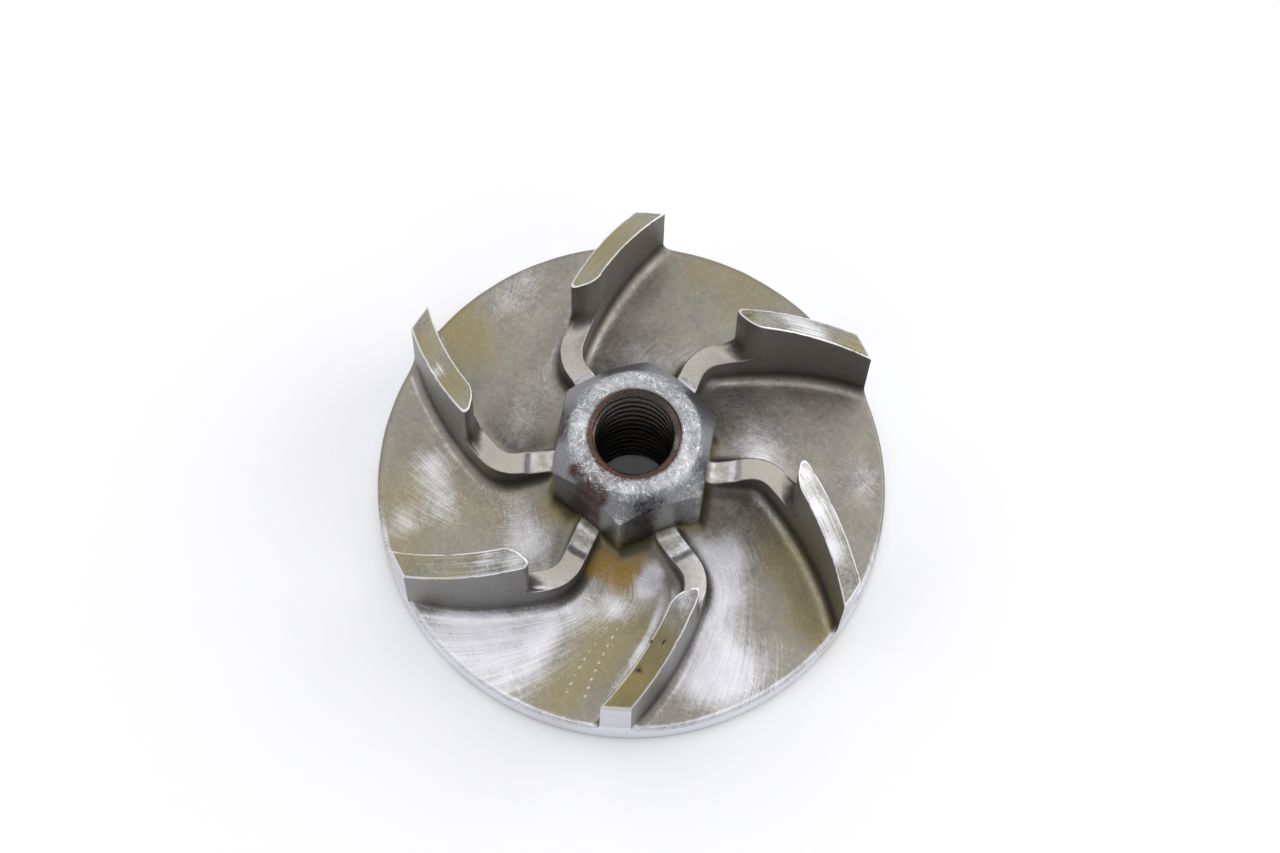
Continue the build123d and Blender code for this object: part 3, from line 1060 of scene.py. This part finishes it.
# %% [markdown]
# ### Turned surfaces
# The blades' tops were turned on a lathe: fine lines along each blade catch the light in streaks,
# tan to silver. Their feed marks of about 0.05 mm are drawn at 0.10 mm. The corner round each top
# is worn bright, a thin white outline. The blades' ends were turned with the rim, clean pale grey
# with upright marks. The rim is the brightest face: its near-white tone is a painted reflection of
# the bright floor round it. Its feed marks are drawn at 0.25 mm, five times as wide as real ones.
# The back was faced flat and has dulled to satin, with a few silvery and tan patches. An
# anisotropic shader could give such streaks, but they would all be alike, and noise along the
# grain makes each line its own.

# %% Tops and edges
finish_materials["top"] = worn_metal(
    "turned_steel_top", ("#85837D", "#B2AFA8"), "#958A62", "#E6E7EC", (0.10, 5.0), 0.3,
    0.36, 0.008, stain="#96875A", scratches=0.5, scratch=(0.06, 1.6), streaky=3.0)
finish_materials["edge"] = worn_metal(
    "worn_steel_edge", ("#E0E0E4", "#F3F3F7"), "#C4C1B9", "#F8F8FC", (0.2, 1.2), 0.3,
    0.28, 0.006, stain="#CCC8BC", scratches=0.1)
print(len(finish_materials), "finishes")

# %% Blade ends, rim and back
finish_materials["tip"] = worn_metal(
    "turned_steel_tip", ("#C6C6CF", "#D6D6DF"), "#B6B4B1", "#F0F0F5", (0.3, 3.0), 0.4,
    0.34, 0.004, stain="#C2BEB0", scratches=0.1)
# Near-white tones: a painted reflection.
finish_materials["rim"] = worn_metal(
    "turned_steel_rim_painted_reflection", ("#DDE0E8", "#EAEDF5"), "#D2D2D1", "#F4F5FA", (0.25, 6.0), 0.4,
    0.32, 0.004, stain="#CDC5B2", scratches=0.1, follow_grain=False)
finish_materials["back"] = worn_metal(
    "faced_steel_back", ("#8B8984", "#9C9A95"), "#7C7559", "#C8C8CB", (0.4, 0.4), 0.4,
    0.36, 0.005, follow_grain=False)
print(len(finish_materials), "finishes")

# %% [markdown]
# ### Hub and hole
# The hub has a turned ring and cone over cast flats: dark steel covered in short bright scratches
# from spanners and handling, with dark brown rust in the corners of the hexagon. The thread was
# cut with a tap: dark oily steel, with brown rust at the mouth. Both use the recipe above, so
# they sit in the same light and wear as the casting that they are part of.

# %% Hub and hole
finish_materials["hub"] = worn_metal(
    "turned_steel_hub", ("#77787A", "#8E8F93"), "#4B4733", "#CECFD2", (0.6, 0.6), 0.2,
    0.36, 0.012, stain="#482720", scratches=1.0, scratch=(0.055, 0.8), sparse=0.63,
    follow_grain=False)
finish_materials["bore"] = worn_metal(
    "threaded_steel_bore", ("#454240", "#625F5C"), "#433F34", "#9C9A98", (0.4, 0.4), 0.2,
    0.4, 0.006, stain="#765443", scratches=0.1, follow_grain=False)
for finish in finishes:
    mesh.materials.append(finish_materials[finish])
print(len(mesh.materials), "finishes on the casting")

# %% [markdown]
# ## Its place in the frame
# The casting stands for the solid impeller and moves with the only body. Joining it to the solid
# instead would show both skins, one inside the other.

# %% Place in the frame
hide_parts("impeller")
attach(casting, "root")
print(casting.name, "replaces impeller")

# %% [markdown]
# ## Floor and light
# The part lies on a plain white floor. Two large soft lamps and an even world light it at a plain
# level: together they show a white sheet as just white. Metal is as bright as what it mirrors, so
# the world looks the same in reflections as it does to the eye: white all round, and a pale grey
# on one side, which gives the walls of the blades their darker side. A picture of a studio could
# do this too, but it would print that studio on every shiny face.

# %% Floor
half, gap_below = 3.0, 0.02 * MM
floor_mesh = bpy.data.meshes.new("studio_floor")
floor_mesh.from_pydata([(-half, -half, 0), (half, -half, 0), (half, half, 0), (-half, half, 0)],
                       [], [(0, 1, 2, 3)])
studio_floor = bpy.data.objects.new("studio_floor", floor_mesh)
studio_floor.location.z = cad_low.z - gap_below
bpy.context.scene.collection.objects.link(studio_floor)
paper = bpy.data.materials.new("white_paper")
paper.use_nodes = True
sheet = paper.node_tree.nodes["Principled BSDF"]
sheet.inputs["Base Color"].default_value = linear("#FDFDFF")
sheet.inputs["Roughness"].default_value = 0.9
sheet.inputs["Specular IOR Level"].default_value = 0.1
floor_mesh.materials.append(paper)
print(f"floor at {studio_floor.location.z / MM:.2f} mm")

# %% Lamps
for name, spot, size, power in (("key_lamp", (-0.06, 0.03, 0.60), 0.6, 0.55),
                                ("fill_lamp", (0.45, 0.20, 0.30), 0.4, 0.55)):
    lamp = bpy.data.lights.new(name, "AREA")
    lamp.size, lamp.energy = size, power
    lamp_object = bpy.data.objects.new(name, lamp)
    lamp_object.location = spot
    lamp_object.rotation_euler = (-Vector(spot)).to_track_quat("-Z", "Y").to_euler()
    bpy.context.scene.collection.objects.link(lamp_object)
    print(f"{name}: {power} W, {size} m across")

# %% World
world = bpy.data.worlds.new("studio")
world.use_nodes = True
bpy.context.scene.world = world
air = world.node_tree
air.nodes.clear()
seen = node(air, "ShaderNodeLightPath", output="Is Camera Ray")
shiny, clear = (seen.node.outputs[kind] for kind in ("Is Glossy Ray", "Is Transmission Ray"))
seen = node(air, "ShaderNodeMath", {0: seen, 1: shiny}, operation="MAXIMUM")
seen = node(air, "ShaderNodeMath", {0: seen, 1: clear}, operation="MAXIMUM")
side = node(air, "ShaderNodeSeparateXYZ", {"Vector": node(air, "ShaderNodeTexCoord")}, output="Y")
side = node(air, "ShaderNodeMapRange", {"Value": side, "From Min": -0.95, "From Max": -0.25},
            interpolation_type="SMOOTHSTEP")
room = node(air, "ShaderNodeMix", {"Factor": side, "A": linear("#BEC0C4"),
                                   "B": linear("#FFFFFF")}, data_type="RGBA")
soft = node(air, "ShaderNodeBackground", {"Color": room, "Strength": 0.92})
white = node(air, "ShaderNodeBackground", {"Color": room, "Strength": 1.0})
both = node(air, "ShaderNodeMixShader", {0: seen, 1: soft, 2: white})
node(air, "ShaderNodeOutputWorld", {"Surface": both})
bpy.context.scene.view_settings.view_transform = "Standard"
print("world", len(air.nodes), "nodes")
